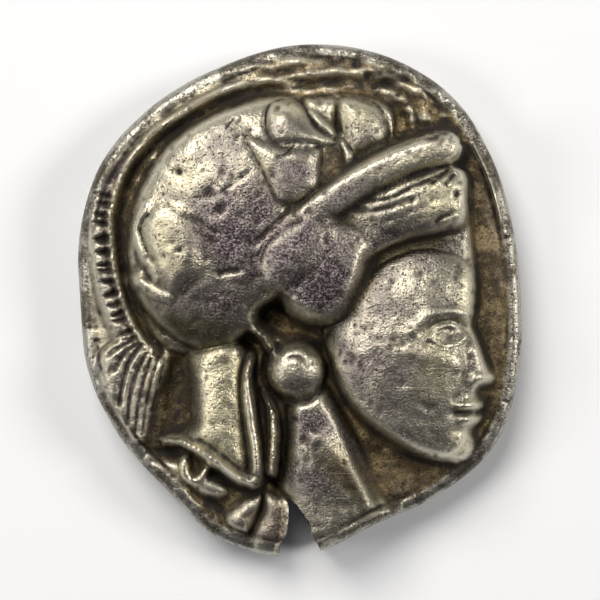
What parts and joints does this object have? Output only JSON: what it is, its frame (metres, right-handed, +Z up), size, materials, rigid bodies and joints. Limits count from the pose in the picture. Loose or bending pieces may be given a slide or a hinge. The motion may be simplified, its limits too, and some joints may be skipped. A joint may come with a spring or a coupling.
{
  "type": "silver tetradrachm coin",
  "caption": "Thick irregular struck silver coin, helmeted head above, owl in a sunken square below, with a deep chisel cut through the lower rim.",
  "frame": {"origin": "under the middle of the coin's bounding box, on the plane that the coin rests on", "axes": "+Z up through the coin from the owl side to the head side, +Y towards the crown of the helmet"},
  "size_m": [0.0232, 0.0266, 0.0061],
  "materials": {
    "toned_silver": "worn cast and struck silver, dark brown toning in the recesses, lilac-grey on the high points"
  },
  "bodies": {
    "root": {"coin": "toned_silver"}
  },
  "joints": []
}
